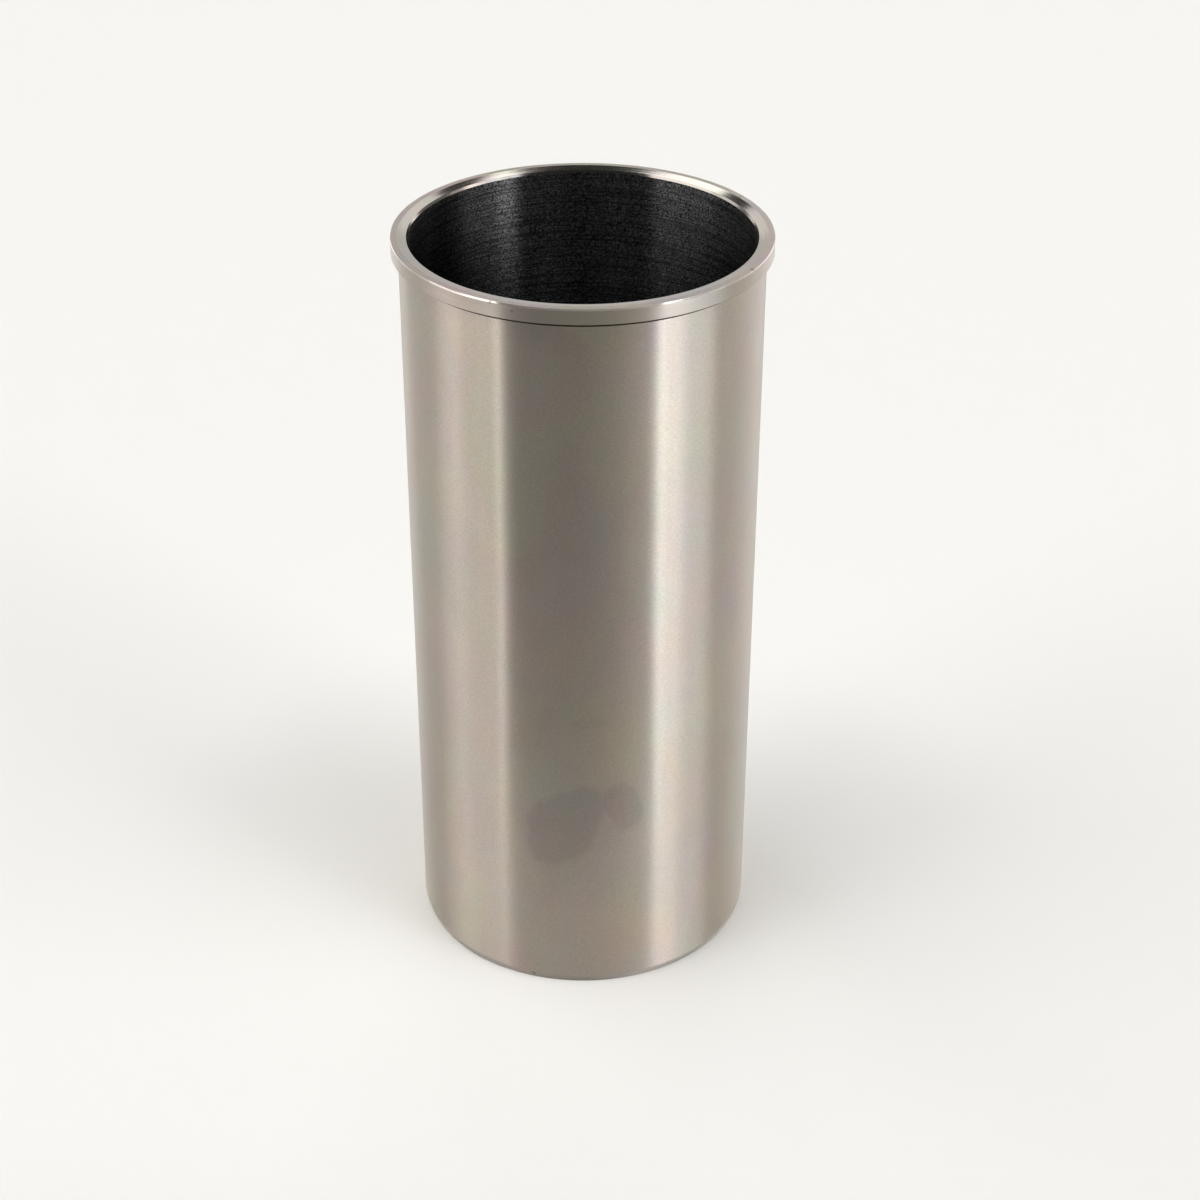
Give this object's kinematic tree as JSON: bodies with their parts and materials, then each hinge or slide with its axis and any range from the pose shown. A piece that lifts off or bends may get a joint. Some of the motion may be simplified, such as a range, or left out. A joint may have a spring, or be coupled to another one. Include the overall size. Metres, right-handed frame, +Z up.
{
  "type": "cylinder liner",
  "caption": "Thin-walled dry cylinder sleeve for a diesel engine, with a narrow location flange at its top end and a plain ground barrel.",
  "frame": {"origin": "centre of the foot face, on the bore axis, where the liner stands on a bench", "axes": "+Z up along the bore axis, from the foot to the flanged mouth"},
  "size_m": [0.1072, 0.1072, 0.2266],
  "materials": {
    "cast_iron": "ground outside, turned flange, bored inside, lightly oiled"
  },
  "bodies": {
    "root": {"cylinder_liner": "cast_iron"}
  },
  "joints": []
}
